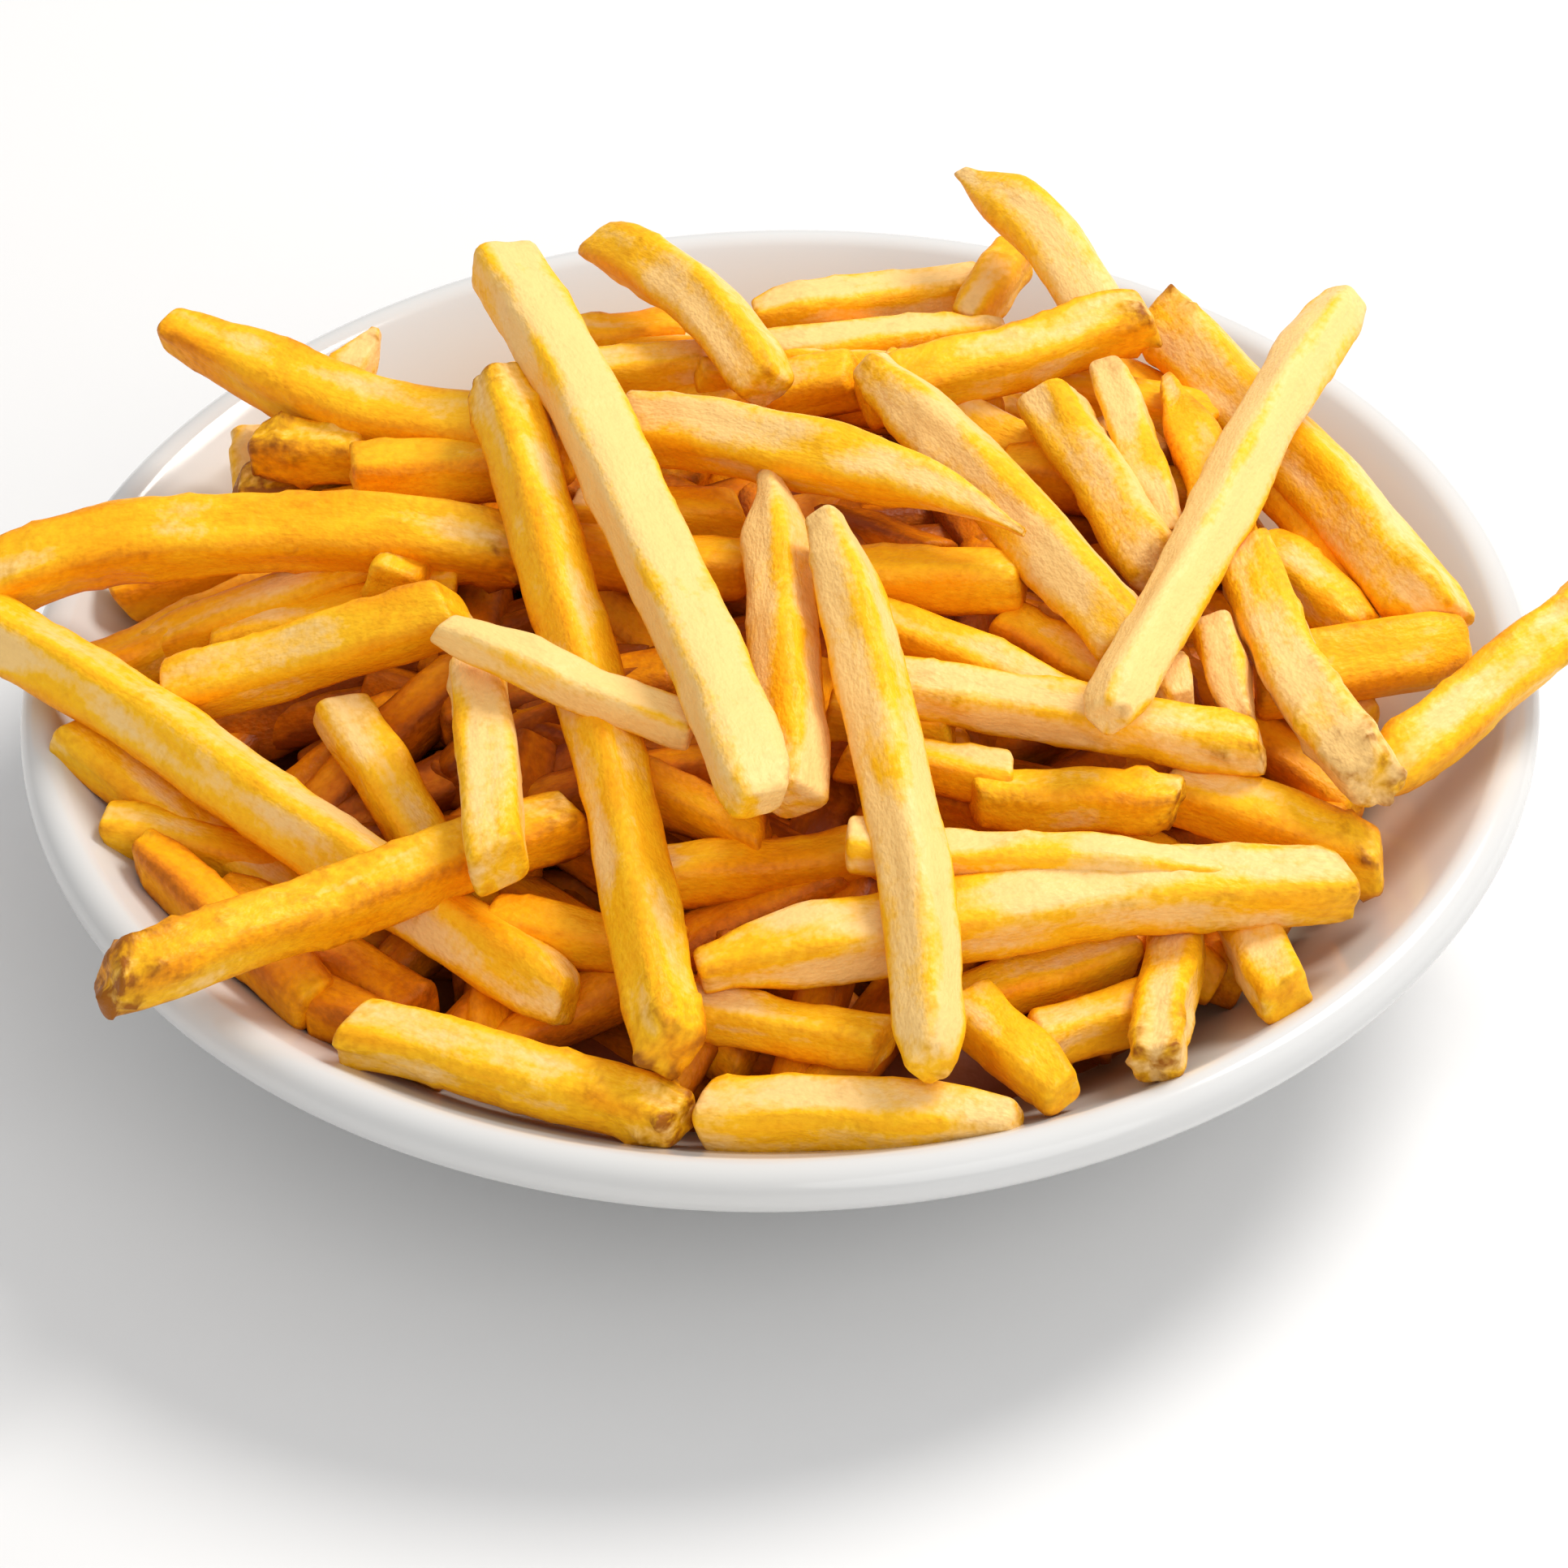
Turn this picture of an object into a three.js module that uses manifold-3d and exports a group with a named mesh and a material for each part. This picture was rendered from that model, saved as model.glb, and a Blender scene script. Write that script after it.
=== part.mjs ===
// A portion of french fries heaped in a shallow round porcelain bowl.
// Millimetres, +Z up. The origin is on the bowl's axis, on the surface it stands on.
// -Y is the side the portion is seen from.

import * as THREE from 'three';
import { mergeVertices } from 'three/addons/utils/BufferGeometryUtils.js';
import Module from 'manifold-3d';

const wasm = await Module();
wasm.setup();

// ---- Driving dimensions ----------------------------------------------------

const SEGMENTS = 52;          // steps round the bowl and the mound

const BOWL_HEIGHT = 40;       // surface to the top of the lip
const LIP_RADIUS = 3.3;       // half the thickness of the round lip
const RIM_RADIUS = 100;       // outermost point of the lip
const FOOT_RADIUS = 54;       // outer edge of the foot ring
const FOOT_WIDTH = 5;         // flat band that the bowl stands on
const FOOT_HEIGHT = 3.5;      // foot ring to the underside of the wall
const RECESS_DEPTH = 2.5;     // hollow inside the foot ring
const FLOOR_HEIGHT = 7.5;     // surface to the inside floor
const FLOOR_RADIUS = 45;      // flat part of the inside floor
const INNER_POWER = 1.25;     // how the inside rises from floor to lip
const OUTER_POWER = 1.05;     // how the outside rises from foot to lip

const CLEARANCE = 0.3;        // gap between the heap and the bowl
const MOUND_EDGE = 80;        // radius where the mound meets the bowl
const MOUND_PEAK = 55;        // height of the mound under the top fries
const MOUND_POWER = 3.2;      // 2 is a dome, more is flatter on top
const MOUND_BUMP = 1.6;       // height of the mound's uneven lumps

const FRY = 7.6;              // usual side of a fry's square section
const OVERHANG = 110;         // how far the fries reach from the bowl's axis, left and right

const BACK_FRIES = 11;        // fries laid by a rule over the far slope
const BACK_LENGTH = 64;       // their mean length
const BACK_SPREAD = [18, 162];  // bearings of the first and the last of them, in degrees
const BACK_ROWS = [70, 50];   // distances of their two rows from the bowl's axis
const BACK_TURN = 38;         // most that one is turned from lying along its row, in degrees

// ---- The fries that shape the heap's outline --------------------------------
// One row a fry: first end, second end, then width and arch where they differ.
// Arch is how far the middle rises above the line between the ends.

const LONG_TOP_FRIES = [
  [[-35, 47, 72], [-2, -59, 66], 8.8],
  [[-37, 27, 68], [-14, -82, 46], 8, 1],
  [[6, -7, 70], [17, -86, 46], 8, 2],
  [[78, 50, 61], [41, -41, 63]],
  [[-84, -72, 50], [-27, -41, 49], 8],
  [[-43, -23, 66], [-11, -38, 61], 5.4],
  [[-81, 51, 60], [-26, 20, 62], 9, -4.5],
];

const UPPER_FRIES = [
  [[-19, 23, 62], [32, -6, 66], 8, 4],
  [[0, 8, 66], [1, -48, 57], 8],
  [[13, 34, 64], [46, -21, 58], 9],
  [[37, 33, 57], [50, -3, 57], 8],
  [[45, 38, 58], [52, 3, 58], 6],
  [[53, 41, 55], [60, 5, 56]],
  [[12, 34, 58], [51, 48, 60]],
  [[27, 79, 63], [46, 46, 58], 8, 2],
  [[-23, 67, 60], [-1, 31, 62], 8, 2],
  [[61, 0, 56], [75, -43, 54], 8.4],
  [[13, -26, 58], [61, -35, 53], 7],
  [[-39, -20, 57], [-35, -58, 56]],
  [[-79, -9, 45], [-41, -12, 60], 8],
];

const OVERHANGING_FRIES = [
  [[-114, 8, 47], [-34, 7, 54], 9.6, 5],
  [[-114, 9, 50], [-27, -66, 40], 8.6],
  [[76, -34, 46], [114, 4, 52], 8.4],
  [[53, 59, 52], [88, -2, 46], 9.8],
];

const SIDE_FRIES = [
  [[-54, -70, 40], [-13, -85, 38]],
  [[-30, -42, 44], [-36, -73, 37]],
  [[-10, -82, 36], [28, -87, 38], 8],
  [[-11, -68, 46], [70, -52, 45], 9.4, 3],
  [[8, -55, 55], [64, -55, 49], 5.8],
  [[50, -35, 47], [76, -45, 42], 8],
  [[50, -52, 37], [45, -82, 42]],
  [[58, -50, 38], [62, -70, 41]],
  [[22, -68, 40], [34, -85, 40]],
  [[62, -12, 45], [90, -4, 44], 9.6],
  [[66, 34, 46], [84, -4, 42], 8.4],
  [[-2, 66, 48], [28, 73, 47], 7],
  [[6, 50, 48], [14, 74, 42]],
  [[0, 51, 53], [32, 56, 52], 6],
  [[-69, 33, 52], [-54, 30, 54]],
  [[-72, 34, 45], [-46, 38, 49]],
  [[-71, 48, 44], [-68, 12, 40], 6.6],
  [[-93, -12, 41], [-60, -40, 32], 6.4],
  [[-57, -16, 48], [-38, -50, 38]],
  [[-72, -38, 36], [-46, -60, 35], 7],
  [[-82, -32, 38], [-59, -62, 37], 7],
  [[-70, -20, 38], [-72, -52, 36]],
];

// ---- Bowl --------------------------------------------------------------------

const lipCentre = {
  r: RIM_RADIUS - LIP_RADIUS,
  z: BOWL_HEIGHT - LIP_RADIUS,
};

// A stretch of wall between two radii, rising by a power of the way across it.
function wallStretch(from, to, power, steps) {
  const points = [];
  for (let i = 0; i <= steps; i++) {
    const s = i / steps;
    points.push(new THREE.Vector2(
      THREE.MathUtils.lerp(from.r, to.r, s),
      THREE.MathUtils.lerp(from.z, to.z, s ** power),
    ));
  }
  return points;
}

// The closed section of the bowl, from its underside round the lip to its inside floor.
// grow thickens it all round, which gives the space that the heap has to stay out of.
function bowlSection(grow) {
  const lip = LIP_RADIUS + grow;
  const lipStart = THREE.MathUtils.degToRad(128);
  const lipEnd = THREE.MathUtils.degToRad(-52);
  const lipPoint = (angle) => ({
    r: lipCentre.r + lip * Math.cos(angle),
    z: lipCentre.z + lip * Math.sin(angle),
  });
  const lipSteps = 7;
  const lipArc = [];
  for (let i = 1; i < lipSteps; i++) {
    const p = lipPoint(THREE.MathUtils.lerp(lipStart, lipEnd, i / lipSteps));
    lipArc.push(new THREE.Vector2(p.r, p.z));
  }
  const floorEdge = { r: FLOOR_RADIUS, z: FLOOR_HEIGHT + grow };
  const footTop = { r: FOOT_RADIUS + 1 + grow, z: FOOT_HEIGHT };
  return [
    new THREE.Vector2(0, RECESS_DEPTH),
    new THREE.Vector2(FOOT_RADIUS - FOOT_WIDTH - 2, RECESS_DEPTH),
    new THREE.Vector2(FOOT_RADIUS - FOOT_WIDTH, 0),
    new THREE.Vector2(FOOT_RADIUS + grow, 0),
    ...wallStretch(footTop, lipPoint(lipEnd), OUTER_POWER, 6),
    ...lipArc.reverse(),
    ...wallStretch(floorEdge, lipPoint(lipStart), INNER_POWER, 10).reverse(),
    new THREE.Vector2(0, FLOOR_HEIGHT + grow),
  ];
}

// LatheGeometry turns round Y, so its axis is tipped up to Z.
function turned(section) {
  return new THREE.LatheGeometry(section, SEGMENTS).rotateX(Math.PI / 2);
}

// ---- Heap --------------------------------------------------------------------

function innerWallHeight(r) {
  const out = Math.max(0, (r - FLOOR_RADIUS) / (lipCentre.r - LIP_RADIUS - FLOOR_RADIUS));
  return FLOOR_HEIGHT + (BOWL_HEIGHT - LIP_RADIUS - FLOOR_HEIGHT) * out ** INNER_POWER;
}

// Height of the mound's top at a distance from the bowl's axis.
function moundHeight(r) {
  const edgeHeight = innerWallHeight(MOUND_EDGE) + 1;
  return edgeHeight + (MOUND_PEAK - edgeHeight) * (1 - (r / MOUND_EDGE) ** MOUND_POWER);
}

// The mound: flat under the floor's clearance, up the wall to its edge, then over the top.
function moundSection() {
  const section = [new THREE.Vector2(0, FLOOR_HEIGHT)];
  section.push(new THREE.Vector2(MOUND_EDGE, FLOOR_HEIGHT));
  const steps = 12;
  for (let i = steps; i >= 0; i--) {
    const r = MOUND_EDGE * i / steps;
    section.push(new THREE.Vector2(r, moundHeight(r)));
  }
  return section;
}

// The far slope's fries lie round it in two rows, each turned a little from its neighbours,
// and their ends sit just above the mound.
function backFries() {
  const rows = [];
  for (let i = 0; i < BACK_FRIES; i++) {
    const bearing = THREE.MathUtils.lerp(...BACK_SPREAD, i / (BACK_FRIES - 1));
    const angle = THREE.MathUtils.degToRad(bearing);
    const r = BACK_ROWS[i % 2];
    const heading = angle + THREE.MathUtils.degToRad(90 + BACK_TURN * Math.sin(2.4 * i));
    const half = BACK_LENGTH / 2 + 5 * Math.cos(1.7 * i);
    const ends = [-half, half].map((reach) => {
      const x = r * Math.cos(angle) + reach * Math.cos(heading);
      const y = r * Math.sin(angle) + reach * Math.sin(heading);
      const out = Math.min(1, (MOUND_EDGE - FRY / 2) / Math.hypot(x, y));
      return [x * out, y * out, moundHeight(Math.hypot(x, y) * out) + FRY / 2 + 1];
    });
    rows.push(ends);
  }
  return rows;
}

// Lumps on the mound: two crossed waves, fading out towards its edge.
function addLumps(geometry) {
  const position = geometry.getAttribute('position');
  for (let i = 0; i < position.count; i++) {
    const [x, y, z] = [position.getX(i), position.getY(i), position.getZ(i)];
    const rise = Math.max(0, (z - BOWL_HEIGHT) / (MOUND_PEAK - BOWL_HEIGHT));
    const lump = Math.sin(x / 7 + 1) * Math.cos(y / 9) + Math.sin((x + y) / 11);
    position.setZ(i, z + MOUND_BUMP * rise * lump);
  }
  return geometry;
}

// A fry: a square bar, arched by a parabola and laid from its first end to its second.
function fryBar([first, second, width = FRY, arch = 0]) {
  const start = new THREE.Vector3(...first);
  const end = new THREE.Vector3(...second);
  const length = start.distanceTo(end);
  const steps = arch === 0 ? 1 : 4;
  const bar = new THREE.BoxGeometry(length, width, width, steps, 1, 1);
  const position = bar.getAttribute('position');
  for (let i = 0; i < position.count; i++) {
    const t = position.getX(i) / length + 0.5;
    position.setZ(i, position.getZ(i) + 4 * arch * t * (1 - t));
  }
  const along = end.clone().sub(start).normalize();
  const across = new THREE.Vector3(0, 0, 1).cross(along).normalize();
  const up = along.clone().cross(across);
  const place = new THREE.Matrix4().makeBasis(along, across, up);
  place.setPosition(start.lerp(end, 0.5));
  return bar.applyMatrix4(place);
}

function toSolid(geometry) {
  const plain = geometry.clone();
  plain.deleteAttribute('normal');
  plain.deleteAttribute('uv');
  const merged = mergeVertices(plain, 1e-3);
  return new wasm.Manifold(new wasm.Mesh({
    numProp: 3,
    vertProperties: Float32Array.from(merged.getAttribute('position').array),
    triVerts: Uint32Array.from(dropFlat(merged)),
  }));
}

// The triangles of a merged geometry, without those that shrink to a line on the axis.
function dropFlat(geometry) {
  const index = geometry.getIndex().array;
  const kept = [];
  for (let i = 0; i < index.length; i += 3) {
    const [a, b, c] = [index[i], index[i + 1], index[i + 2]];
    if (a !== b && b !== c && c !== a) kept.push(a, b, c);
  }
  return kept;
}

function toGeometry(solid) {
  const mesh = solid.getMesh();
  const geometry = new THREE.BufferGeometry();
  geometry.setAttribute('position', new THREE.BufferAttribute(mesh.vertProperties, 3));
  geometry.setIndex(new THREE.BufferAttribute(mesh.triVerts, 1));
  geometry.computeVertexNormals();
  return geometry;
}

// The largest piece of a solid, without crumbs that a cut leaves and without hollows.
function largestPiece(solid) {
  return solid.decompose().reduce((best, piece) => (piece.volume() > best.volume() ? piece : best));
}

function heapSolid() {
  let heap = toSolid(addLumps(turned(moundSection())));
  const fries = [
    ...LONG_TOP_FRIES,
    ...UPPER_FRIES,
    ...OVERHANGING_FRIES,
    ...SIDE_FRIES,
    ...backFries(),
  ];
  for (const fry of fries) heap = heap.add(toSolid(fryBar(fry)));
  const bounds = new THREE.BoxGeometry(2 * OVERHANG, 2 * OVERHANG, 2 * OVERHANG);
  heap = heap.intersect(toSolid(bounds));
  heap = heap.subtract(toSolid(turned(bowlSection(CLEARANCE))));
  return largestPiece(heap);
}

// ---- Assembly ------------------------------------------------------------------

const porcelain = new THREE.MeshStandardMaterial({ color: 0xf1f0ee, roughness: 0.2, metalness: 0 });
const friedPotato = new THREE.MeshStandardMaterial({ color: 0xf2c04e, roughness: 0.5, metalness: 0 });

const portion = new THREE.Group();

const bowl = new THREE.Mesh(turned(bowlSection(0)), porcelain);
bowl.name = 'bowl';
portion.add(bowl);

const fries = new THREE.Mesh(toGeometry(heapSolid()), friedPotato);
fries.name = 'fries';
portion.add(fries);

export default portion;
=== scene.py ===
"""A portion of french fries heaped in a shallow round porcelain bowl.

Sizes are in millimetres here, and make_piece turns them into metres.
-Y is the side the portion is seen from, and the bowl's axis is the Z axis.
"""
import math

import bpy
import numpy as np
from mathutils import Matrix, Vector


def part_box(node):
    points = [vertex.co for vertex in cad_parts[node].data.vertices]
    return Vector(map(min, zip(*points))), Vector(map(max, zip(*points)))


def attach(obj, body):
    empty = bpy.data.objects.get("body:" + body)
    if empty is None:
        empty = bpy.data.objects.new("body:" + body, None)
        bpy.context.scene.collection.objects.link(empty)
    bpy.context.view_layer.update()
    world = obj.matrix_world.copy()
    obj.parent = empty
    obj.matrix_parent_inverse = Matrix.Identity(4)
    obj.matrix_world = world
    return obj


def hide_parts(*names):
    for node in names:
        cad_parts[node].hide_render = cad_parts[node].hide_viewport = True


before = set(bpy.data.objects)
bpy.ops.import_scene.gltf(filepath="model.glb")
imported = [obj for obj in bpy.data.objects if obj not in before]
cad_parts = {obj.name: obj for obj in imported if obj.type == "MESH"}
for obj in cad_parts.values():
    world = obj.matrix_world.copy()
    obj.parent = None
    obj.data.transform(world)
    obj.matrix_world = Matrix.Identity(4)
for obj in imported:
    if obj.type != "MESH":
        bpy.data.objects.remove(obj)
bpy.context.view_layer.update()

MM = 0.001

# ---- Sizes ---------------------------------------------------------------------

bowl_low, bowl_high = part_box("bowl")
RIM_RADIUS = (bowl_high[0] - bowl_low[0]) / 2 / MM
BOWL_HEIGHT = 40.0
LIP_RADIUS = 3.3
FOOT_RADIUS = 54.0        # outside of the foot ring
FOOT_WIDTH = 5.0
FOOT_HEIGHT = 3.5
RECESS_DEPTH = 2.5        # of the underside within the foot ring
FLOOR_HEIGHT = 7.5
FLOOR_RADIUS = 45.0
INNER_POWER = 1.25        # how the inside of the wall rises: 1 is straight, more is hollower
OUTER_POWER = 1.05        # the same on the outside
LIP_START = -52           # where the lip's arc begins on the outer wall, in degrees from level
LIP_END = 128             # and where it ends on the inner wall
BOWL_STEPS = 256          # points round the bowl

FRY = 7.6                 # side of a fry's section
CORNER = 3.9              # squareness of the section: 2 is round, more is squarer
SECTION_STEPS = 40        # points round a fry's section
ROW_STEP = 1.15           # spacing of the rings along a fry
BACK_STEPS = 32           # both are coarser on the far slope
BACK_ROW_STEP = 1.6
UNDER_STEPS = 24          # and coarser still underneath
UNDER_ROW_STEP = 2.2
HEAP_RADIUS = 81.0        # where the heap meets the bowl's wall
HEAP_PEAK = 58.0          # height of the middle of the heap, under its top fries
HEAP_POWER = 3.2          # 2 is a dome, more is flatter on top
CORE_DEPTH = 20.0         # how far the core's top lies under the heap's height
CLEARANCE = 0.3           # gap between the core and the bowl
BACK_FRIES = 11           # fries laid by a rule over the far slope
BACK_LENGTH = 64.0        # their mean length
BACK_SPREAD = (18, 162)   # bearings of the first and the last of them, in degrees
BACK_ROWS = (70, 50)      # distances of their two rows from the bowl's axis
BACK_TURN = 38            # most that one is turned from lying along its row, in degrees
GOLDEN_ANGLE = 137.5      # turn from one fry to the next on the spiral underneath, in degrees


# ---- Noise -----------------------------------------------------------------------

LATTICE_SIZE = 24
LATTICE = np.random.default_rng(11).random((LATTICE_SIZE,) * 3) * 2 - 1


def noise(points):
    """Value noise from -1 to 1: the lattice's random values, blended in each of the three
    directions by the smooth step f * f * (3 - 2 f) of the place within the cell."""
    cell = np.floor(points).astype(int)
    f = points - cell
    f = f * f * (3 - 2 * f)
    total = np.zeros(points.shape[:-1])
    for corner in np.ndindex(2, 2, 2):
        weight = np.ones(points.shape[:-1])
        for axis, side in enumerate(corner):
            weight = weight * (f[..., axis] if side else 1 - f[..., axis])
        i, j, k = ((cell[..., axis] + side) % LATTICE_SIZE for axis, side in enumerate(corner))
        total += weight * LATTICE[i, j, k]
    return total


def smooth_step(x):
    """3 x squared less 2 x cubed, with x held between 0 and 1."""
    x = np.clip(x, 0, 1)
    return x * x * (3 - 2 * x)


# ---- Meshes ------------------------------------------------------------------------

def make_piece(name, points, quads, triangles, material, attributes=None):
    """Joins arrays of points, four-sided and three-sided faces into one smooth mesh object."""
    mesh = bpy.data.meshes.new(name)
    mesh.vertices.add(len(points))
    mesh.vertices.foreach_set("co", (np.asarray(points) * MM).astype(np.float32).ravel())
    corners = np.concatenate([quads.ravel(), triangles.ravel()])
    starts = np.concatenate([
        np.arange(len(quads)) * 4,
        quads.size + np.arange(len(triangles)) * 3,
    ])
    mesh.loops.add(len(corners))
    mesh.loops.foreach_set("vertex_index", corners.astype(np.int32))
    mesh.polygons.add(len(starts))
    mesh.polygons.foreach_set("loop_start", starts.astype(np.int32))
    mesh.polygons.foreach_set("use_smooth", np.ones(len(starts), dtype=bool))
    for key, (kind, values) in (attributes or {}).items():
        field = "vector" if kind == "FLOAT_VECTOR" else "value"
        layer = mesh.attributes.new(key, kind, "POINT")
        layer.data.foreach_set(field, np.asarray(values, dtype=np.float32).ravel())
    mesh.update(calc_edges=True)
    mesh.materials.append(material)
    piece = bpy.data.objects.new(name, mesh)
    bpy.context.scene.collection.objects.link(piece)
    return piece


def tube_faces(rings, around):
    """Faces of rings of points joined in a tube, each end closed by a fan to one point.
    The first point is the first pole, then come the rings, then the last pole."""
    ring = np.arange(rings - 1)[:, None] * around + 1
    here = np.arange(around)[None, :]
    there = (here + 1) % around
    quads = np.stack([ring + here, ring + there, ring + around + there, ring + around + here], -1)
    last = (rings - 1) * around + 1
    first_fan = np.stack([np.zeros(around, int), there[0] + 1, here[0] + 1], -1)
    last_fan = np.stack([np.full(around, last + around), last + here[0], last + there[0]], -1)
    return quads.reshape(-1, 4), np.concatenate([first_fan, last_fan])


def lathe(radii, heights, around):
    """A closed profile turned round Z: x = r cos a, y = r sin a, from pole to pole."""
    angle = np.arange(around) * 2 * math.pi / around
    ring = np.stack([
        radii[1:-1, None] * np.cos(angle),
        radii[1:-1, None] * np.sin(angle),
        np.repeat(heights[1:-1, None], around, 1),
    ], -1)
    points = np.concatenate([
        [[0, 0, heights[0]]],
        ring.reshape(-1, 3),
        [[0, 0, heights[-1]]],
    ])
    quads, triangles = tube_faces(len(radii) - 2, around)
    return points, quads, triangles


# ---- Materials -----------------------------------------------------------------------

def new_material(name):
    """A new material, its nodes, its links and its shader."""
    material = bpy.data.materials.new(name)
    material.use_nodes = True
    nodes = material.node_tree.nodes
    return material, nodes, material.node_tree.links, nodes["Principled BSDF"]


def add_noise(nodes, links, source, scale, detail=4.0, stretch=(1, 1, 1)):
    """Noise from 0 to 1 at the places that source gives, multiplied by stretch first."""
    mapping = nodes.new("ShaderNodeMapping")
    mapping.inputs["Scale"].default_value = stretch
    links.new(source, mapping.inputs["Vector"])
    texture = nodes.new("ShaderNodeTexNoise")
    texture.inputs["Scale"].default_value = scale
    texture.inputs["Detail"].default_value = detail
    links.new(mapping.outputs["Vector"], texture.inputs["Vector"])
    return texture.outputs["Fac"]


def add_ramp(nodes, links, factor, stops):
    """A colour found by the factor between stops, each a place from 0 to 1 and its colour."""
    ramp = nodes.new("ShaderNodeValToRGB")
    elements = ramp.color_ramp.elements
    while len(elements) < len(stops):
        elements.new(0.5)
    for element, (place, colour) in zip(elements, stops):
        element.position = place
        element.color = (*colour, 1)
    links.new(factor, ramp.inputs["Fac"])
    return ramp.outputs["Color"]


def add_math(nodes, links, operation, *values, clamp=False):
    """One step of arithmetic on values that are numbers or sockets. clamp holds it in 0 to 1."""
    node = nodes.new("ShaderNodeMath")
    node.operation = operation
    node.use_clamp = clamp
    for socket, value in zip(node.inputs, values):
        if isinstance(value, (int, float)):
            socket.default_value = value
        else:
            links.new(value, socket)
    return node.outputs["Value"]


def add_attribute(nodes, name):
    """The sockets of a value that each point of the mesh carries."""
    node = nodes.new("ShaderNodeAttribute")
    node.attribute_name = name
    return node.outputs


def add_upward(nodes, links):
    """How far a surface faces up: the Z part of its normal."""
    split = nodes.new("ShaderNodeSeparateXYZ")
    links.new(nodes.new("ShaderNodeNewGeometry").outputs["Normal"], split.inputs["Vector"])
    return split.outputs["Z"]


def add_mix(nodes, links, factor, first, second):
    """The first colour where the factor is 0, turning to the second where it is 1."""
    node = nodes.new("ShaderNodeMix")
    node.data_type = "RGBA"
    links.new(factor, node.inputs["Factor"])
    for socket, value in zip((node.inputs[6], node.inputs[7]), (first, second)):
        if isinstance(value, tuple):
            socket.default_value = (*value, 1)
        else:
            links.new(value, socket)
    return node.outputs[2]


def add_bump(nodes, links, height, strength, distance, normal=None):
    """A normal tilted by the height's slope, starting from another bump's normal if given."""
    node = nodes.new("ShaderNodeBump")
    node.inputs["Strength"].default_value = strength
    node.inputs["Distance"].default_value = distance
    links.new(height, node.inputs["Height"])
    if normal is not None:
        links.new(normal, node.inputs["Normal"])
    return node.outputs["Normal"]


CREAM = (0.95, 0.615, 0.22)
GOLD = (1.0, 0.53, 0.010)
DEEP_GOLD = (0.98, 0.385, 0.002)
# Painted shade: the fry colour runs into these last two where painted shade deepens the tone under
# the heap.
PAINTED_SHADE_ORANGE = (0.70, 0.19, 0.001)
SHADED_BROWN = (0.27, 0.052, 0.0006)
TOASTED = (0.34, 0.105, 0.004)
# Painted reflection: a warm tan, darker than the glaze, standing for the fries' light on the
# bowl's inside.
PAINTED_REFLECTION = (0.72, 0.50, 0.26)
PAINTED_REFLECTION_EDGE = 0.0945         # metres from the bowl's axis to where the painted reflection ends
BARE_FOOT = 0.0006        # metres up to which the foot is bare clay


def fried_potato():
    """Colour runs from cream over golds to an orange and a brown of painted shade with the fry's
    tone, lengthwise streaks, blotches and a fine mottle. Upward faces are painted a little paler
    as painted light, and it turns toasted where the
    crust is crisp: at ends, on blisters and in specks."""
    material, nodes, links, shader = new_material("fried_potato")
    grain = add_attribute(nodes, "grain")["Vector"]
    tone = add_attribute(nodes, "tone")["Fac"]
    toast = add_attribute(nodes, "toast")["Fac"]
    streaks = add_noise(nodes, links, grain, 2.4, 3, (0.22, 1, 1))
    blotches = add_noise(nodes, links, grain, 1.1, 1, (0.6, 1, 1))
    specks = add_noise(nodes, links, grain, 9.0, 2)
    crumb = add_noise(nodes, links, grain, 20.0, 1.5, (0.6, 1, 1))

    uneven = add_math(nodes, links, "ADD", streaks, blotches)
    uneven = add_math(nodes, links, "SUBTRACT", uneven, 1.0)
    shade = add_math(nodes, links, "MULTIPLY_ADD", uneven, 0.95, tone)
    mottle = add_math(nodes, links, "MULTIPLY_ADD", specks, 0.34, -0.17)
    shade = add_math(nodes, links, "ADD", shade, mottle)
    # Painted light: faces that look up are made paler.
    painted_top_light = add_math(nodes, links, "MULTIPLY", add_upward(nodes, links), 0.12)
    shade = add_math(nodes, links, "SUBTRACT", shade, painted_top_light)
    shade = add_math(nodes, links, "MULTIPLY", shade, 0.75)
    body = add_ramp(nodes, links, shade, (
        (0.0, CREAM),
        (0.19, GOLD),
        (0.46, DEEP_GOLD),
        (0.72, PAINTED_SHADE_ORANGE),
        (1.0, SHADED_BROWN),
    ))

    spot = add_math(nodes, links, "SUBTRACT", specks, 0.5)
    crisp = add_math(nodes, links, "MULTIPLY_ADD", spot, 2.4, toast)
    crisp = add_math(nodes, links, "MULTIPLY", crisp, toast, clamp=True)
    colour = add_mix(nodes, links, crisp, body, TOASTED)
    links.new(colour, shader.inputs["Base Color"])

    rough = add_math(nodes, links, "MULTIPLY_ADD", specks, 0.30, 0.31)
    links.new(rough, shader.inputs["Roughness"])
    shader.inputs["Specular IOR Level"].default_value = 0.17
    normal = add_bump(nodes, links, streaks, 0.45, 0.0010)
    normal = add_bump(nodes, links, crumb, 0.4, 0.0004, normal)
    links.new(normal, shader.inputs["Normal"])
    return material


def heap_shade():
    """Painted shade for the inside of the heap: orange brown with a mealy surface."""
    material, nodes, links, shader = new_material("heap_shade")
    place = nodes.new("ShaderNodeTexCoord").outputs["Object"]
    clods = add_noise(nodes, links, place, 90, 5)
    colour = add_ramp(nodes, links, clods, (
        (0.3, (0.20, 0.035, 0.001)),
        (0.7, (0.36, 0.078, 0.002)),
    ))
    links.new(colour, shader.inputs["Base Color"])
    shader.inputs["Roughness"].default_value = 0.6
    links.new(add_bump(nodes, links, clods, 0.6, 0.002), shader.inputs["Normal"])
    return material


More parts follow.
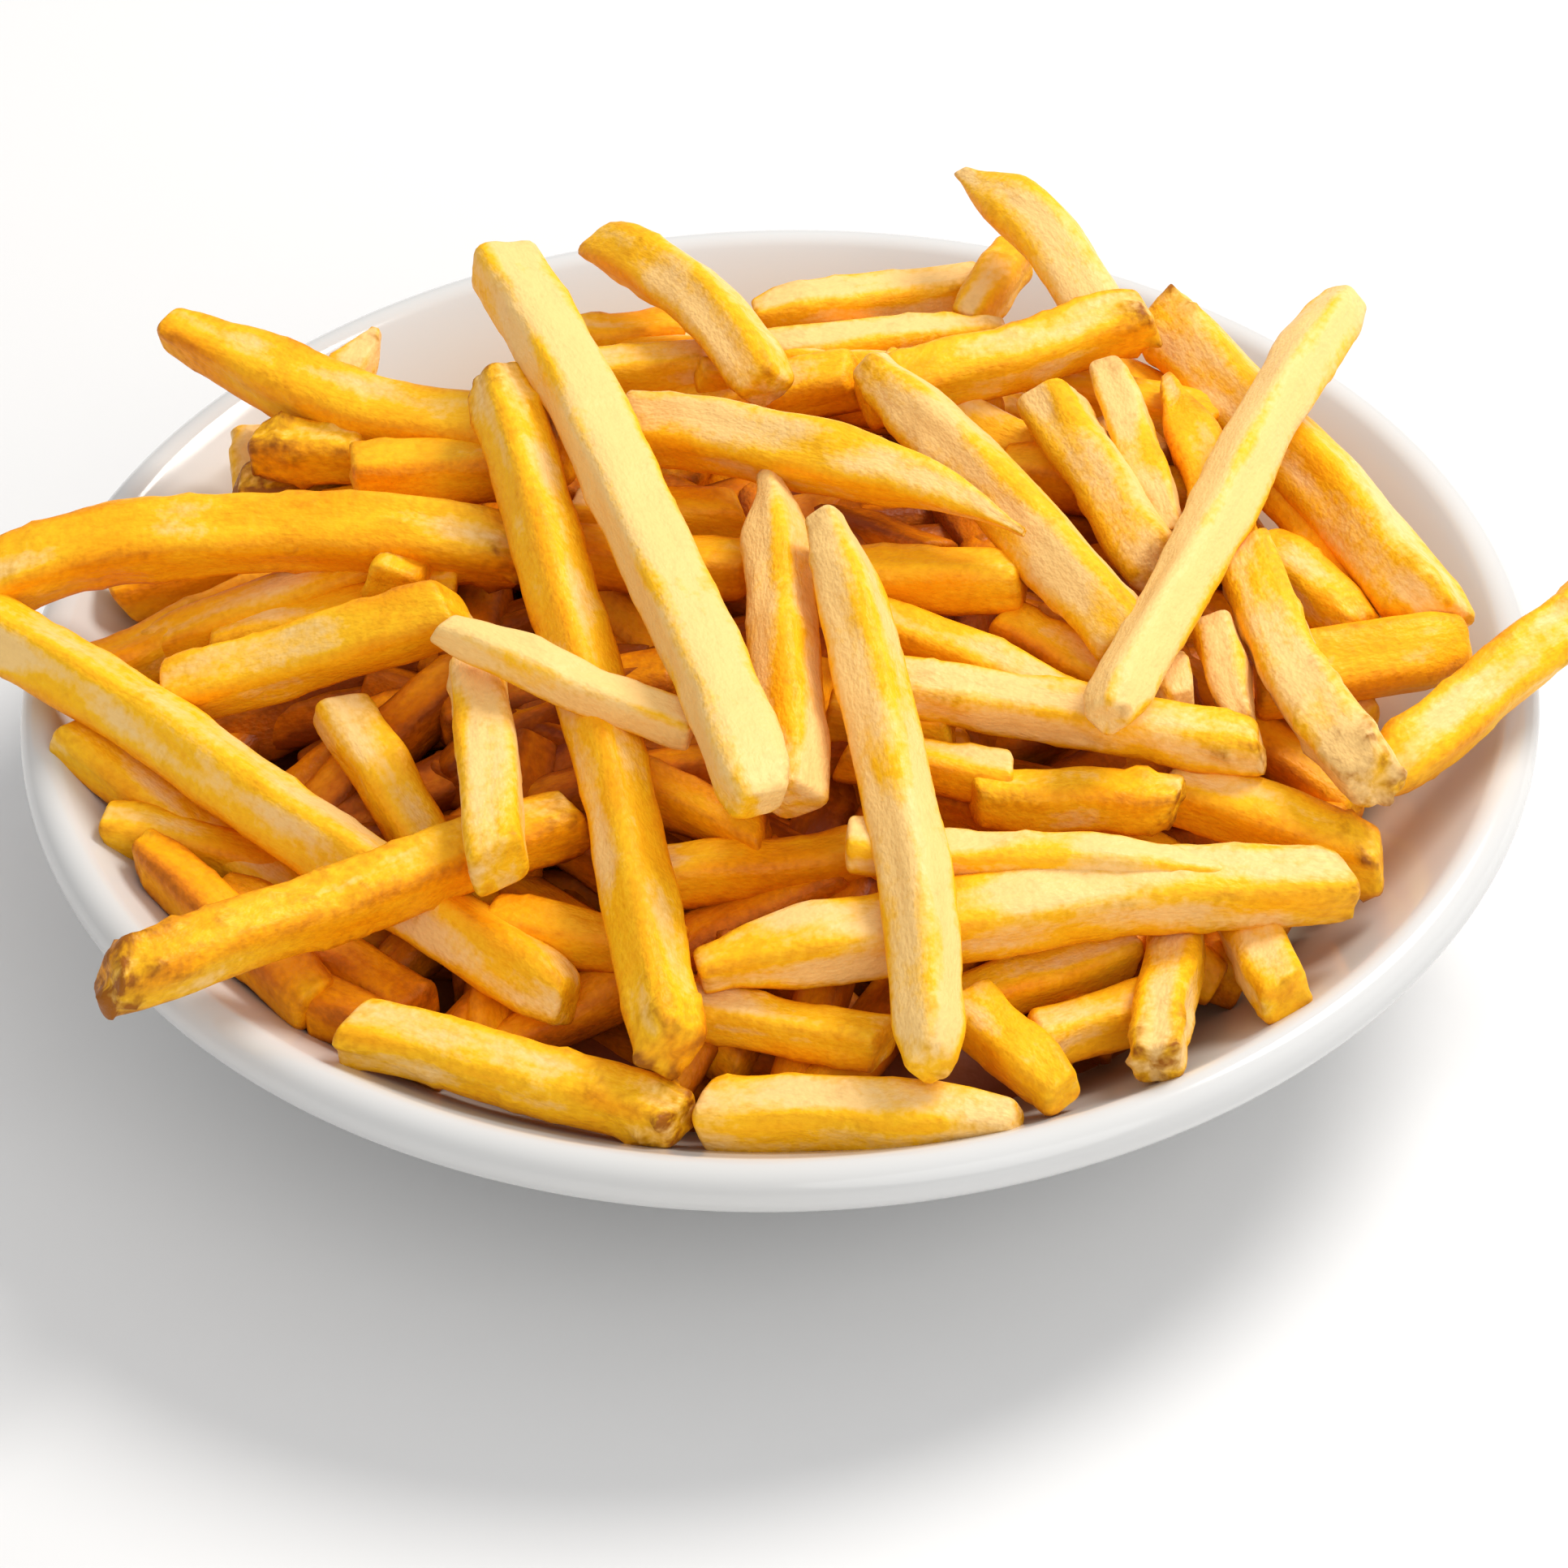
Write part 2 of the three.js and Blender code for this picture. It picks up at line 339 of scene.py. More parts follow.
def porcelain():
    """White glaze, a little warmer where it pools thin, with slow waves in its surface, a painted
    warm reflection of the fries on the inside, and bare fired clay on the band that the bowl
    stands on."""
    material, nodes, links, shader = new_material("porcelain")
    place = nodes.new("ShaderNodeTexCoord").outputs["Object"]
    pooling = add_noise(nodes, links, place, 14, 3)
    glaze = add_ramp(nodes, links, pooling, (
        (0.3, (0.63, 0.625, 0.61)),
        (0.7, (0.66, 0.66, 0.655)),
    ))
    split = nodes.new("ShaderNodeSeparateXYZ")
    links.new(place, split.inputs["Vector"])
    bare = add_math(nodes, links, "LESS_THAN", split.outputs["Z"], BARE_FOOT)
    clay = add_noise(nodes, links, place, 900, 4)
    clay_colour = add_ramp(nodes, links, clay, (
        (0.3, (0.62, 0.58, 0.52)),
        (0.7, (0.74, 0.71, 0.66)),
    ))
    colour = add_mix(nodes, links, bare, glaze, clay_colour)
    flat_place = nodes.new("ShaderNodeVectorMath")
    flat_place.operation = "MULTIPLY"
    flat_place.inputs[1].default_value = (1, 1, 0)
    links.new(place, flat_place.inputs[0])
    radius = nodes.new("ShaderNodeVectorMath")
    radius.operation = "LENGTH"
    links.new(flat_place.outputs["Vector"], radius.inputs[0])
    # Painted reflection: the warm tan is laid on the upward-facing inside within its edge, in
    # patches following the glaze's pooling.
    inside = add_math(nodes, links, "SUBTRACT", PAINTED_REFLECTION_EDGE, radius.outputs["Value"])
    inside = add_math(nodes, links, "MULTIPLY", inside, 60.0, clamp=True)
    upward = add_math(nodes, links, "GREATER_THAN", add_upward(nodes, links), 0.1)
    painted_reflection = add_math(nodes, links, "MULTIPLY", inside, upward)
    painted_reflection = add_math(nodes, links, "MULTIPLY", painted_reflection, pooling)
    colour = add_mix(nodes, links, painted_reflection, colour, PAINTED_REFLECTION)
    links.new(colour, shader.inputs["Base Color"])
    rough = add_math(nodes, links, "MULTIPLY_ADD", bare, 0.55, 0.13)
    links.new(rough, shader.inputs["Roughness"])
    shader.inputs["IOR"].default_value = 1.5
    waves = add_noise(nodes, links, place, 35, 2)
    links.new(add_bump(nodes, links, waves, 0.08, 0.0012), shader.inputs["Normal"])
    return material


# ---- Bowl ------------------------------------------------------------------------------

def inner_wall_height(radius):
    """Inside of the bowl: flat floor, then a rise by a power of the way out to the lip."""
    inner_edge = RIM_RADIUS - 2 * LIP_RADIUS
    out = np.clip((radius - FLOOR_RADIUS) / (inner_edge - FLOOR_RADIUS), 0, None)
    return FLOOR_HEIGHT + (BOWL_HEIGHT - LIP_RADIUS - FLOOR_HEIGHT) * out ** INNER_POWER


def bowl_profile():
    """The bowl's closed section from the middle of its underside, out over foot and wall, round
    the lip's arc and back down the inside to the middle of its floor."""
    def stretch(start, end, power, steps):
        """A wall that rises by a power of the share of the way out."""
        s = np.linspace(0, 1, steps)
        return np.stack([
            start[0] + (end[0] - start[0]) * s,
            start[1] + (end[1] - start[1]) * s ** power,
        ], -1)

    def lip(degrees):
        """Places on the lip's circle."""
        angle = np.radians(degrees)
        centre = np.array([RIM_RADIUS - LIP_RADIUS, BOWL_HEIGHT - LIP_RADIUS])
        return centre + LIP_RADIUS * np.stack([np.cos(angle), np.sin(angle)], -1)

    def softened(corner, before, after, radius, steps=6):
        """A corner rounded by a parabola between points at a distance along its two sides."""
        corner, before, after = (np.array(p, float) for p in (corner, before, after))
        start = corner + radius * (before - corner) / np.linalg.norm(before - corner)
        end = corner + radius * (after - corner) / np.linalg.norm(after - corner)
        t = np.linspace(0, 1, steps)[:, None]
        return (1 - t) ** 2 * start + 2 * t * (1 - t) * corner + t ** 2 * end

    foot_inner = FOOT_RADIUS - FOOT_WIDTH
    recess = (foot_inner - 2, RECESS_DEPTH)
    foot_top = (FOOT_RADIUS + 1, FOOT_HEIGHT)
    outer = stretch(foot_top, lip(LIP_START), OUTER_POWER, 44)
    inner = stretch((FLOOR_RADIUS, FLOOR_HEIGHT), lip(LIP_END), INNER_POWER, 48)[::-1]
    return np.concatenate([
        [(0, RECESS_DEPTH), (15, RECESS_DEPTH), (30, RECESS_DEPTH)],
        softened(recess, (30, RECESS_DEPTH), (foot_inner, 0), 1.2),
        softened((foot_inner, 0), recess, (FOOT_RADIUS, 0), 0.7),
        softened((FOOT_RADIUS, 0), (foot_inner, 0), foot_top, 0.7),
        softened(foot_top, (FOOT_RADIUS, 0), outer[1], 1.0),
        outer[2:-1],
        lip(np.linspace(LIP_START, LIP_END, 26)),
        inner[1:-1],
        [(r, FLOOR_HEIGHT) for r in (FLOOR_RADIUS, 36, 24, 12, 0)],
    ])


def make_bowl(material):
    """The bowl's section turned round its axis."""
    profile = bowl_profile()
    points, quads, triangles = lathe(profile[:, 0], profile[:, 1], BOWL_STEPS)
    return make_piece("bowl_glazed", points, quads, triangles, material)


# ---- Fries -----------------------------------------------------------------------------

# How an end is finished: share of the section left at the tip, length of the taper, how much
# the crust there blisters, and how toasted it is.
ENDS = {
    "s": (0.97, 3.0, 0.25, 0.22),    # cut square
    "r": (0.72, 6.0, 0.35, 0.25),    # rounded
    "b": (0.88, 5.0, 1.1, 0.50),     # blistered
    "B": (0.84, 6.0, 1.2, 0.80),     # blistered and browned
    "t": (0.55, 16.0, 0.3, 0.35),    # tapered
    "w": (0.28, 13.0, 0.3, 0.35),    # cut to a wedge
    "p": (0.20, 26.0, 0.3, 0.50),    # pointed
}


def fry(first, second, side=FRY, roll=0, arch=0, sway=0, ends="ss", tone=0.4, crust=0.3, deep=1.0):
    """One fry, as the numbers it is worked out from. roll is in degrees about its length. arch and
    sway are how far its middle rises and goes sideways. deep is its depth over its width."""
    return {
        "first": np.array(first, float), "second": np.array(second, float), "side": side,
        "roll": roll, "arch": arch, "sway": sway, "ends": ends, "tone": tone,
        "crust": crust, "deep": deep,
    }


def fry_rings(length, side, row_step):
    """Places of a fry's rings along it, and their share of the full section: rings across the
    first end's face, a quarter circle round its edge, the sides, and the same at the last end."""
    edge = 0.13 * side
    rounding = 2 * edge / side
    quarter = np.radians((0, 25, 50, 72))
    face = np.array([0.35, 0.68])
    start = np.concatenate([np.zeros(len(face)), edge * (1 - np.cos(quarter))])
    share = np.concatenate([face * (1 - rounding), 1 - rounding * (1 - np.sin(quarter))])
    steps = max(6, int((length - 2 * edge) / row_step))
    middle = np.linspace(edge, length - edge, steps)
    places = np.concatenate([start, middle, length - start[::-1]])
    shares = np.concatenate([share, np.ones(steps), share[::-1]])
    return places, shares


def fry_surface(shape, number, around, row_step):
    """A fry's rings. The section is the rounded square |y|^n + |z|^n = 1. It shrinks towards
    tapered ends, its faces sink a little between the edges, and noise dents and blisters it.
    The middle line is straight plus a parabola up and sideways plus two slow waves. The tone
    deepens along the edges, and painted shade deepens it further with the depth under the heap's
    height."""
    draw = np.random.default_rng(1000 + number)
    first, second, side = shape["first"], shape["second"], shape["side"]
    length = float(np.linalg.norm(second - first))
    places, shares = fry_rings(length, side, row_step)
    s = places / length

    taper = np.ones_like(s)
    blister = np.full_like(s, 0.12 + shape["crust"] * 0.5)
    toast = np.full_like(s, 0.10 + 0.35 * shape["crust"])
    for kind, distance in zip(shape["ends"], (places, length - places)):
        tip, reach, rough, brown = ENDS[kind]
        reach = min(reach, 0.45 * length)
        taper = taper * (tip + (1 - tip) * smooth_step(distance / reach) ** 0.8)
        blister = blister + rough * np.exp(-distance / (0.9 * side))
        toast = toast + brown * np.exp(-distance / (0.45 * side))

    angle = np.arange(around) * 2 * math.pi / around
    square = (np.abs(np.cos(angle)) ** CORNER + np.abs(np.sin(angle)) ** CORNER) ** (-1 / CORNER)
    sunk = 1 - draw.uniform(0.015, 0.05) * (0.5 + 0.5 * np.cos(4 * angle))
    half = 0.5 * side * (shares * taper)[:, None] * (square * sunk)[None, :]
    y = half * np.cos(angle)
    z = half * np.sin(angle) * shape["deep"]
    x = np.repeat(places[:, None], around, 1)
    local = np.stack([x, y, z], -1) + draw.uniform(0, 400, 3)

    swell = noise(local / (9, 7, 7)) * 0.42 + noise(local / (3.4, 2.6, 2.6)) * 0.17
    bubbles = np.clip(noise(local / (2.6, 2.2, 2.2) + 50) - 0.22, 0, None)
    swell = swell + bubbles * blister[:, None] * 1.5
    swell = swell + noise(local / 1.25) * 0.06 * (0.4 + blister[:, None])
    full = smooth_step(shares)[:, None]
    y = y + swell * full * np.cos(angle)
    z = z + swell * full * np.sin(angle)
    x = x + (swell * (1 - full)) * np.where(s < 0.5, -1, 1)[:, None]

    slants = draw.uniform(-0.35, 0.35, 4)
    near_first = np.clip(1 - places / (1.2 * side), 0, 1)[:, None]
    near_last = np.clip(1 - (length - places) / (1.2 * side), 0, 1)[:, None]
    x = x + near_first * (slants[0] * y + slants[1] * z)
    x = x + near_last * (slants[2] * y + slants[3] * z)

    turn = np.radians(shape["roll"] + draw.uniform(-14, 14) * (s - 0.5))[:, None]
    y, z = y * np.cos(turn) - z * np.sin(turn), y * np.sin(turn) + z * np.cos(turn)

    bow = 4 * s * (1 - s)
    phase = draw.uniform(0, 2 * math.pi, 4)
    size = draw.uniform(0.1, 0.45, 4) * min(1.0, length / 60)
    waves = size[:, None] * np.sin(np.array([5, 11, 5, 10])[:, None] * s + phase[:, None])
    side_line = shape["sway"] * bow + waves[0] + waves[1]
    rise_line = shape["arch"] * bow + waves[2] + waves[3]

    along = (second - first) / length
    across = np.cross((0, 0, 1), along)
    across = across / np.linalg.norm(across)
    up = np.cross(along, across)
    rings = (
        first
        + x[..., None] * along
        + (y + side_line[:, None])[..., None] * across
        + (z + rise_line[:, None])[..., None] * up
    )
    edges = ((square - 1) / (square.max() - 1)) ** 2
    crisp = toast[:, None] * (0.6 + 0.4 * edges * full) + 0.5 * bubbles * (0.3 + blister[:, None])
    # Painted shade: the tone grows darker the deeper a point lies under the heap's height.
    painted_shade_depth = heap_height(np.hypot(rings[..., 0], rings[..., 1])) + 6 - rings[..., 2]
    edge_tone = 0.28 * (edges[None, :] - 0.3) * full
    tone = shape["tone"] + edge_tone + 0.75 * smooth_step((painted_shade_depth - 4) / 13)
    return rings, local, crisp, tone


def join_fries(name, shapes, material, start, around=SECTION_STEPS, row_step=ROW_STEP):
    """All the fries of one group as one mesh. The draws of each are seeded with its number in the
    group, counted from start, so that no two fries of the heap have the same."""
    points, quads, triangles, grain, toast, tone = [], [], [], [], [], []
    count = 0
    for number, shape in enumerate(shapes):
        rings, local, crisp, tone_with_painted_shade = fry_surface(shape, start + number, around, row_step)
        rows = len(rings)
        some_quads, some_triangles = tube_faces(rows, around)
        poles = rings[[0, -1]].mean(1)
        points += [poles[:1], rings.reshape(-1, 3), poles[1:]]
        grain += [local[:1, 0], local.reshape(-1, 3), local[-1:, 0]]
        toast += [crisp[:1, 0], crisp.ravel(), crisp[-1:, 0]]
        tone += [tone_with_painted_shade[:1, 0], tone_with_painted_shade.ravel(), tone_with_painted_shade[-1:, 0]]
        quads.append(some_quads + count)
        triangles.append(some_triangles + count)
        count += rows * around + 2
    return make_piece(
        name, np.concatenate(points), np.concatenate(quads), np.concatenate(triangles), material,
        {
            "grain": ("FLOAT_VECTOR", np.concatenate(grain) * 0.1),
            "toast": ("FLOAT", np.concatenate(toast)),
            "tone": ("FLOAT", np.concatenate(tone)),
        },
    )


# The long fries that lie across the top of the heap.
LONG_FRIES = [
    fry((-35, 47, 72), (-2, -59, 66), 9.4, roll=-10, sway=1, ends="sr", tone=0.05, crust=0.05,
        deep=0.85),
    fry((-37, 27, 68), (-14, -82, 46), 8.0, roll=-35, arch=1, sway=1.5, ends="Bb", tone=0.40),
    fry((6, -7, 70), (17, -86, 46), 8.0, roll=40, arch=2, sway=3, ends="tr", tone=0.18, crust=0.2),
    fry((78, 50, 61), (41, -41, 63), 7.5, roll=40, sway=-1, ends="rr", tone=0.02, crust=0.1),
    fry((-84, -72, 50), (-27, -41, 49), 8.2, roll=10, ends="Bs", tone=0.50, crust=0.8),
    fry((-43, -23, 66), (-11, -38, 61), 5.4, roll=0, ends="rs", tone=-0.05, crust=0.05),
    fry((-81, 51, 60), (-26, 20, 62), 9.0, roll=15, arch=-4.5, ends="ts", tone=0.40, crust=0.3),
]

# The fries of the upper layer, which show for most of their length.
UPPER_FRIES = [
    fry((-19, 23, 62), (32, -6, 66), 8.8, roll=30, arch=4, ends="sp", tone=0.20, crust=0.2),
    fry((0, 8, 66), (1, -48, 57), 7.8, roll=40, ends="ws", tone=0.15),
    fry((13, 34, 64), (46, -21, 58), 8.8, roll=42, ends="ts", tone=0.15),
    fry((37, 33, 57), (50, -3, 57), 8.2, roll=38, tone=0.15),
    fry((45, 38, 58), (52, 3, 58), 6.0, roll=20, ends="rt", tone=0.05),
    fry((53, 41, 55), (60, 5, 56), 7.4, roll=20, ends="ps", tone=0.40),
    fry((12, 34, 58), (51, 48, 60), 7.8, roll=15, ends="sb", tone=0.35, crust=0.4),
    fry((27, 79, 63), (46, 46, 58), 8.4, roll=30, arch=2, sway=1.5, ends="ws", tone=0.15),
    fry((-23, 67, 60), (-1, 31, 62), 8.2, roll=40, arch=2, sway=3, ends="rr", tone=0.25),
    fry((61, 0, 56), (75, -43, 54), 8.4, roll=20, sway=-2, ends="sb", tone=0.10, crust=0.4),
    fry((13, -26, 58), (61, -35, 53), 7.0, roll=10, ends="sb", tone=0.20, crust=0.4),
    fry((-39, -20, 57), (-35, -58, 56), 7.6, roll=5, ends="ss", tone=0.15),
    fry((-79, -9, 45), (-41, -12, 60), 8.2, roll=25, ends="ss", tone=0.40),
    fry((4, -3, 57), (32, -5, 57), 7.4, roll=0, tone=0.45),
    fry((-26, 14, 55), (-4, 13, 55), 6.6, roll=0, tone=0.35),
    fry((-26, 4, 56), (-3, 1, 55), 7.2, roll=0, tone=0.50),
    fry((10, -9, 55), (38, -25, 54), 6.6, roll=10, ends="st", tone=0.35),
    fry((29, -7, 52), (45, -21, 51), 6.4, roll=10, tone=0.50),
]

# The fries that reach out past the rim.
RIM_FRIES = [
    fry((-109, 8, 47.5), (-34, 7, 54), 9.6, roll=25, arch=5, sway=4, ends="bb", tone=0.50,
        crust=0.4),
    fry((-109, 7, 49), (-27, -66, 40), 8.6, roll=-30, ends="sr", tone=0.30, crust=0.2),
    fry((76, -34, 46), (108, -2, 51), 8.4, roll=30, ends="rb", tone=0.40, crust=0.5),
    fry((53, 59, 52), (88, -2, 46), 9.8, roll=45, ends="br", tone=0.25),
]

# The fries round the sides of the heap and in its lower layer.
SIDE_FRIES = [
    fry((-54, -70, 40), (-13, -85, 37.5), 7.8, roll=10, ends="sB", tone=0.30, crust=0.4),
    fry((-10, -82.5, 36), (28, -87.5, 38), 8.6, roll=10, ends="st", tone=0.25),
    fry((-11, -68, 46), (70, -52, 45), 9.2, roll=10, arch=3, ends="tb", tone=0.20, crust=0.4),
    fry((8, -55, 55), (64, -55, 49), 5.8, roll=0, ends="sp", tone=0.10),
    fry((50, -35, 47), (76, -45, 42), 8.2, roll=10, tone=0.45, ends="sb"),
    fry((50, -52, 37), (45, -82, 42), 7.2, roll=10, ends="sb", tone=0.25, crust=0.6),
    fry((58, -50, 38), (62, -70, 41), 7.2, roll=10, ends="ss", tone=0.20),
    fry((22, -68, 40), (34, -85, 40), 7.2, roll=10, ends="sr", tone=0.40),
    fry((14, -70, 38), (43, -55, 37), 6.6, roll=10, tone=0.25),
    fry((62, -12, 45), (90, -4, 44), 9.4, roll=35, tone=0.42, ends="sr"),
    fry((66, 34, 46), (84, -4, 42), 8.4, roll=40, tone=0.45),
    fry((64, 16, 46), (77, -1, 44), 7.4, roll=0, tone=0.40, ends="rr"),
    fry((-2, 66, 48), (28, 73, 47), 7.0, roll=0, ends="rs", tone=0.25),
    fry((6, 50, 48), (14, 74, 42), 7.4, tone=0.45),
    fry((0, 51, 53), (32, 56, 52), 6.2, roll=0, ends="st", tone=0.15),
    fry((34, 76, 50), (27, 61, 50), 6.4, roll=0, ends="sr", tone=0.35),
    fry((-69, 33, 52), (-54, 30, 54), 7.4, roll=0, ends="Bs", tone=0.50, crust=0.9),
    fry((-72, 34, 45), (-46, 38, 49), 7.4, roll=20, ends="Bs", tone=0.30, crust=0.9),
    fry((-71, 48, 44), (-68, 12, 40), 6.6, roll=0, ends="rr", tone=0.10),
    fry((-54, 60, 52), (-62, 45, 46), 6.0, roll=0, ends="ws", tone=0.20),
    fry((-56, 23, 56), (-33, 21, 57), 7.6, roll=0, ends="ss", tone=0.50),
    fry((-34, 58, 50), (-12, 60, 50), 6.4, roll=0, ends="ss", tone=0.40),
    fry((-30, 46, 54), (-8, 47, 54), 6.8, roll=0, ends="ss", tone=0.30),
    fry((-93, -12, 41), (-60, -40, 32), 6.4, roll=0, ends="ss", tone=0.40),
    fry((-87, -27, 38), (-50, -36, 31), 6.4, roll=0, ends="ss", tone=0.45),
    fry((-84, 5, 41), (-51, 10, 50), 6.8, roll=0, ends="rs", tone=0.45),
    fry((-75, 3, 43), (-42, 5, 50), 6.6, roll=0, ends="ss", tone=0.50),
    fry((-57, -16, 48), (-38, -50, 38), 7.4, roll=0, ends="ss", tone=0.20),
    fry((-17, -50, 46), (12, -46, 46), 7.0, roll=0, ends="ss", tone=0.25),
    fry((24, -40, 50), (50, -42, 50), 6.8, roll=0, ends="sb", tone=0.30, crust=0.5),
    fry((8, -33, 52), (29, -38, 51), 6.4, roll=0, ends="ss", tone=0.20),
    fry((6, -26, 53), (22, -28, 52), 6.4, roll=0, ends="ss", tone=0.20),
    fry((-16, -68, 41), (12, -75, 40), 6.4, roll=0, ends="ss", tone=0.35),
    fry((56, -12, 55), (59, -29, 52), 5.6, roll=20, ends="st", tone=0.15),
    fry((50, -18, 54), (51, -27, 54), 5.6, roll=0, ends="rr", tone=0.0),
    fry((-38, -52, 42), (-14, -60, 42), 6.8, roll=0, tone=0.45),
    fry((30, -72, 37), (46, -66, 37), 6.8, roll=0, tone=0.45),
    fry((-20, -35, 50), (-2, -45, 48), 6.8, roll=0, tone=0.50),
    fry((4, 44, 52), (30, 40, 52), 7.2, tone=0.45),
    fry((36, 46, 50), (60, 38, 49), 7.4, tone=0.45),
    fry((42, 56, 46), (68, 34, 45), 7.4, tone=0.45),
    fry((30, 28, 50), (56, 20, 50), 7.4, tone=0.50),
    fry((-94, 0, 39), (-66, 14, 43), 7.4, tone=0.50),
    # Painted shade: the dark tones of these three fries low by the front left of the wall stand
    # for shade there.
    fry((-82, -32, 38), (-59, -62, 37), 7.0, ends="rs", tone=0.80),
    fry((-72, -38, 36), (-46, -62, 35), 7.0, ends="rs", tone=0.95),
    fry((-60, -60, 36.5), (-42, -70, 34), 6.8, tone=0.95),
    fry((-88, 20, 38), (-52, 26, 48), 7.4, tone=0.50),
]


def heap_height(radius):
    """The middle of the heap's outer layer: a dome flattened by a power of the radius."""
    edge = inner_wall_height(HEAP_RADIUS) + FRY / 2
    share = 1 - np.clip(radius / HEAP_RADIUS, 0, 1.1) ** HEAP_POWER
    return edge + (HEAP_PEAK - edge) * share


def back_fries():
    """The far slope's fries, in two rows round it. Their bearings are spread evenly, and each is
    turned from its row by a sine of its number, with its ends just above the layer below."""
    shapes = []
    number = np.arange(BACK_FRIES)
    angle = np.radians(np.linspace(*BACK_SPREAD, BACK_FRIES))
    row = np.array(BACK_ROWS)[number % 2]
    heading = angle + np.radians(90 + BACK_TURN * np.sin(2.4 * number))
    half = BACK_LENGTH / 2 + 5 * np.cos(1.7 * number)
    for i in number:
        middle = row[i] * np.array([math.cos(angle[i]), math.sin(angle[i])])
        reach = half[i] * np.array([math.cos(heading[i]), math.sin(heading[i])])
        ends = []
        for flat in (middle - reach, middle + reach):
            flat = flat * min(1, (HEAP_RADIUS - 1 - FRY / 2) / math.hypot(*flat))
            ends.append((*flat, back_height(math.hypot(*flat))))
        shapes.append(fry(
            *ends, 7.2 + 0.5 * math.sin(3.1 * i),
            roll=35 * math.sin(5.3 * i), arch=1.5 * math.sin(4.1 * i),
            ends="srbstrbsrst"[i] + "bsrtsbrsbsr"[i], tone=0.24 + 0.16 * math.sin(2.9 * i),
        ))
    return shapes


def back_height(radius):
    """Height of the far slope's fries: half a fry and 1 mm above a dome whose top is 3 mm lower
    than the heap's, so that they sink into the layer below."""
    edge = inner_wall_height(HEAP_RADIUS - 1) + 1
    share = 1 - np.clip(radius / (HEAP_RADIUS - 1), 0, 1) ** HEAP_POWER
    return edge + (HEAP_PEAK - 3 - edge) * share + FRY / 2 + 1


def under_fries(count, depth, draw):
    """Fries under the ones that show, turned at random. Their middles lie on a sunflower spiral,
    whose radius goes with the square root of their number. Each end is sunk to a depth below the
    heap's height there, and stays above the bowl's wall."""
    shapes = []
    for i in range(count):
        radius = (HEAP_RADIUS - 14) * math.sqrt((i + 0.5) / count)
        angle = i * math.radians(GOLDEN_ANGLE)
        centre = radius * np.array([math.cos(angle), math.sin(angle)])
        heading = draw.uniform(0, math.pi)
        reach = draw.uniform(22, 40) * np.array([math.cos(heading), math.sin(heading)])
        ends = []
        for flat in (centre - reach, centre + reach):
            out = math.hypot(*flat)
            flat = flat * min(1, (HEAP_RADIUS - 3) / out)
            out = math.hypot(*flat)
            wall = inner_wall_height(out) + 0.72 * FRY
            height = max(wall, heap_height(out) - depth + draw.uniform(-2, 2))
            ends.append((*flat, height))
        shapes.append(fry(
            *ends, draw.uniform(6.4, 7.8), roll=draw.uniform(-40, 40), arch=draw.uniform(-1, 2),
            ends="".join(draw.choice(list("ssrbt"), 2)), tone=draw.uniform(0.3, 0.65),
            crust=draw.uniform(0.1, 0.5),
        ))
    return shapes


def make_core(material):
    """The lumpy inside of the heap. Its underside follows the bowl's inner wall at the clearance,
    and its top is the heap's dome, lowered by a depth and raised again by noise in lumps."""
    around, under_rings, over_rings = 96, 24, 40
    edge = HEAP_RADIUS - 8
    outward = np.linspace(0, edge, under_rings)
    inward = np.linspace(edge, 0, over_rings)
    under = inner_wall_height(outward) + CLEARANCE
    over = np.maximum(heap_height(inward) - CORE_DEPTH, inner_wall_height(inward) + CLEARANCE)
    radii, heights = np.concatenate([outward, inward]), np.concatenate([under, over])
    points, quads, triangles = lathe(radii, heights, around)
    ring = np.arange(1, len(radii) - 1)
    upper = np.concatenate([[0], np.repeat(ring > under_rings, around), [1]])
    lumps = noise(points / 9) * 2.2 + noise(points / 4) * 0.9
    points[:, 2] += upper * (1 + lumps)
    return make_piece("heap_core", points, quads, triangles, material)


# ---- Stage -----------------------------------------------------------------------------

def make_floor():
    """A flat pale square under the bowl, from -3 m to 3 m in X and Y."""
    material, nodes, links, shader = new_material("floor")
    place = nodes.new("ShaderNodeTexCoord").outputs["Object"]
    cloud = add_noise(nodes, links, place, 1.5, 2)
    colour = add_ramp(nodes, links, cloud, ((0.3, (0.77, 0.77, 0.77)), (0.7, (0.79, 0.79, 0.79))))
    links.new(colour, shader.inputs["Base Color"])
    shader.inputs["Roughness"].default_value = 0.8
    far = 3000
    points = np.array([(-far, -far, 0), (far, -far, 0), (far, far, 0), (-far, far, 0)], float)
    floor = make_piece("floor", points, np.array([[0, 1, 2, 3]]), np.zeros((0, 3), int), material)


def aim(thing, place, target):
    """Puts a light or camera at a place and turns it to a target, both in millimetres."""
    place = np.array(place, float)
    look = np.array(target, float) - place
    look = look / np.linalg.norm(look)
    right = np.cross(look, (0, 0, 1))
    right = right / np.linalg.norm(right)
    up = np.cross(right, look)
    thing.location = place * MM
    turn = np.stack([right, up, -look], 1)
    thing.rotation_euler = Matrix(turn.tolist()).to_euler()


def add_light(name, place, size, power, colour):
    """A round soft lamp of a size in millimetres and a power in watts, turned to the portion."""
    data = bpy.data.lights.new(name, "AREA")
    data.shape = "DISK"
    data.size = size * MM
    data.energy = power
    data.color = colour
    light = bpy.data.objects.new(name, data)
    bpy.context.scene.collection.objects.link(light)
    aim(light, place, (0, 0, 40))


